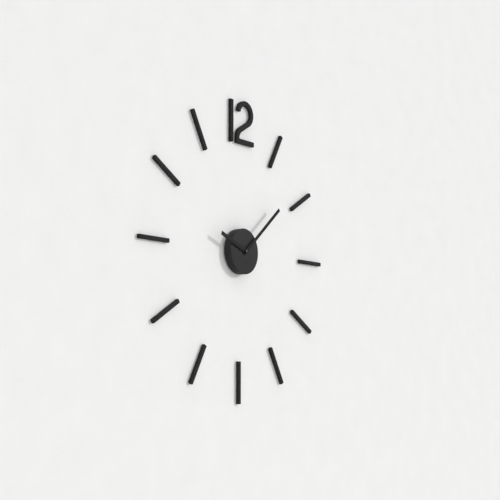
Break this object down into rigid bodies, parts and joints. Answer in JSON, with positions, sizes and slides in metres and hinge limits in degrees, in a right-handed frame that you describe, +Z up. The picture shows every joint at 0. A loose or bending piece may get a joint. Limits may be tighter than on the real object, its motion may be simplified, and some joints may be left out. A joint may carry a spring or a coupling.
{
  "type": "wall clock",
  "caption": "Frameless wall clock: a round hub holds a quartz movement and straight hands, inside a ring of separate stick-on bar markers with a large twelve at the top.",
  "frame": {"origin": "centre of the dial on the wall plane, at the middle of the movement's back face", "axes": "+Y points into the wall, +Z is up towards twelve o'clock and +X is to the right for someone who faces the clock"},
  "size_m": [0.508, 0.0214, 0.516],
  "materials": {
    "marker_plastic": "fine matte, charcoal black",
    "foam_tape": "white closed-cell foam tape",
    "cover_plastic": "satin charcoal black",
    "hand_aluminium": "matte black lacquer on stamped sheet",
    "nickel_plate": "black nickel plate",
    "black_nut": "black plated",
    "bush_brass": "turned brass",
    "gasket_rubber": "dull black",
    "case_plastic": "moulded black, fine grain",
    "frame_plastic": "natural acetal",
    "wheel_plastic": "natural acetal",
    "knob_plastic": "white acetal",
    "magnet": "sintered ferrite",
    "motor_steel": "stamped soft iron",
    "copper_wire": "enamelled copper wire",
    "board_laminate": "green solder mask",
    "crystal_can": "drawn metal can",
    "chip_resin": "black resin",
    "cell_jacket": "printed jacket over a steel can",
    "contact_steel": "nickel-plated spring steel"
  },
  "bodies": {
    "root": {"bush_nut": "black_nut", "bush_washer": "black_nut", "circuit_board": "board_laminate", "clock_chip": "chip_resin", "coil_bobbin": "frame_plastic", "coil_core": "motor_steel", "coil_winding": "copper_wire", "contact_negative": "contact_steel", "contact_positive": "contact_steel", "hub_cover": "cover_plastic", "marker_01": "marker_plastic", "marker_02": "marker_plastic", "marker_03": "marker_plastic", "marker_04": "marker_plastic", "marker_05": "marker_plastic", "marker_06": "marker_plastic", "marker_07": "marker_plastic", "marker_08": "marker_plastic", "marker_09": "marker_plastic", "marker_10": "marker_plastic", "marker_11": "marker_plastic", "marker_pads": "foam_tape", "movement_case_front": "case_plastic", "movement_case_rear": "case_plastic", "numeral_one": "marker_plastic", "numeral_pads": "foam_tape", "numeral_two": "marker_plastic", "quartz_crystal": "crystal_can", "rubber_gasket": "gasket_rubber", "stator": "motor_steel", "threaded_bush": "bush_brass", "train_bridge": "frame_plastic"},
    "minute": {"minute_hand": "hand_aluminium", "minute_arbor": "wheel_plastic", "hand_nut": "nickel_plate"},
    "hour": {"hour_hand": "hand_aluminium", "hour_wheel": "wheel_plastic"},
    "motion_wheel": {"motion_wheel": "wheel_plastic"},
    "set_knob": {"set_knob": "knob_plastic"},
    "rotor": {"rotor_shaft": "wheel_plastic", "rotor_magnet": "magnet"},
    "fifth_wheel": {"fifth_wheel": "wheel_plastic"},
    "fourth_wheel": {"fourth_wheel": "wheel_plastic"},
    "third_wheel": {"third_wheel": "wheel_plastic"},
    "centre_wheel": {"centre_wheel": "wheel_plastic"},
    "battery": {"battery_cell": "cell_jacket"}
  },
  "joints": [
    {"name": "minute_turn", "type": "hinge", "parent": "root", "child": "minute", "pos_m": [0, 0, 0], "axis": [0, 1, 0], "continuous": true},
    {"name": "hour_turn", "type": "hinge", "parent": "root", "child": "hour", "pos_m": [0, 0, 0], "axis": [0, 1, 0], "continuous": true},
    {"name": "motion_wheel_turn", "type": "hinge", "parent": "root", "child": "motion_wheel", "pos_m": [-0.00902, 0, 0.00328], "axis": [0, 1, 0], "continuous": true},
    {"name": "set_knob_turn", "type": "hinge", "parent": "root", "child": "set_knob", "pos_m": [-0.01862, 0, 0.00328], "axis": [0, 1, 0], "continuous": true},
    {"name": "rotor_turn", "type": "hinge", "parent": "root", "child": "rotor", "pos_m": [-0.00791, 0, 0.01121], "axis": [0, 1, 0], "continuous": true},
    {"name": "fifth_wheel_turn", "type": "hinge", "parent": "root", "child": "fifth_wheel", "pos_m": [-0.00552, 0, 0.00463], "axis": [0, 1, 0], "continuous": true},
    {"name": "fourth_wheel_turn", "type": "hinge", "parent": "root", "child": "fourth_wheel", "pos_m": [0, 0, 0], "axis": [0, 1, 0], "continuous": true},
    {"name": "third_wheel_turn", "type": "hinge", "parent": "root", "child": "third_wheel", "pos_m": [0.00836, 0, 0.00585], "axis": [0, 1, 0], "continuous": true},
    {"name": "centre_wheel_turn", "type": "hinge", "parent": "root", "child": "centre_wheel", "pos_m": [0, 0, 0], "axis": [0, 1, 0], "continuous": true},
    {"name": "battery_slide", "type": "slide", "parent": "root", "child": "battery", "axis": [0, 1, 0], "range_m": [0, 0.016]}
  ],
  "couplings": [
    {"joint": "hour_turn", "follows": "minute_turn", "ratio": 0.083333},
    {"joint": "motion_wheel_turn", "follows": "minute_turn", "ratio": -0.33333},
    {"joint": "set_knob_turn", "follows": "minute_turn", "ratio": 1},
    {"joint": "fifth_wheel_turn", "follows": "rotor_turn", "ratio": -0.16667},
    {"joint": "fourth_wheel_turn", "follows": "rotor_turn", "ratio": 0.033333},
    {"joint": "third_wheel_turn", "follows": "rotor_turn", "ratio": -0.0044444},
    {"joint": "centre_wheel_turn", "follows": "rotor_turn", "ratio": 0.00055556}
  ]
}
